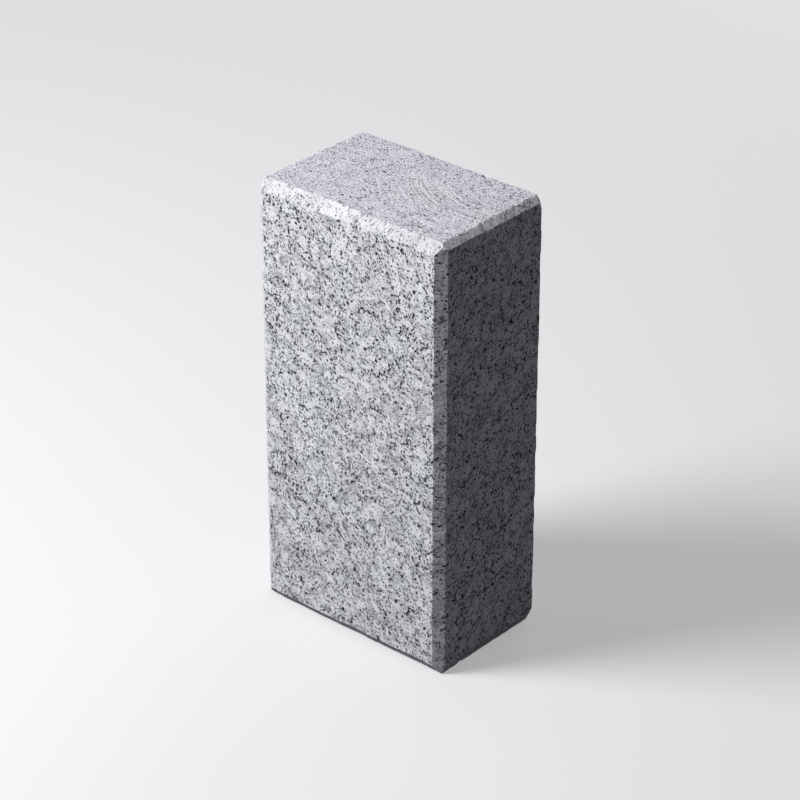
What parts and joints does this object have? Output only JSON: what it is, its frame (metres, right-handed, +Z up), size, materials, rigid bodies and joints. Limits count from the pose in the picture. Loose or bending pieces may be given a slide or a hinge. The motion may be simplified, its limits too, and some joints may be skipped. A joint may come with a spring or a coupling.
{
  "type": "granite paving stone",
  "caption": "Rectangular sawn granite paving stone with ground, chamfered arrises, shown standing on its small end; laid flat side by side it makes a hard-wearing paved surface.",
  "frame": {"origin": "middle of the lower small end, on the floor it stands on", "axes": "+Z up along the stone's length, +Y through its thickness with the front broad face at -Y, +X across its width"},
  "size_m": [0.1, 0.065, 0.2],
  "materials": {
    "granite": "sawn and honed light grey granite"
  },
  "bodies": {
    "root": {"paving_stone": "granite"}
  },
  "joints": []
}
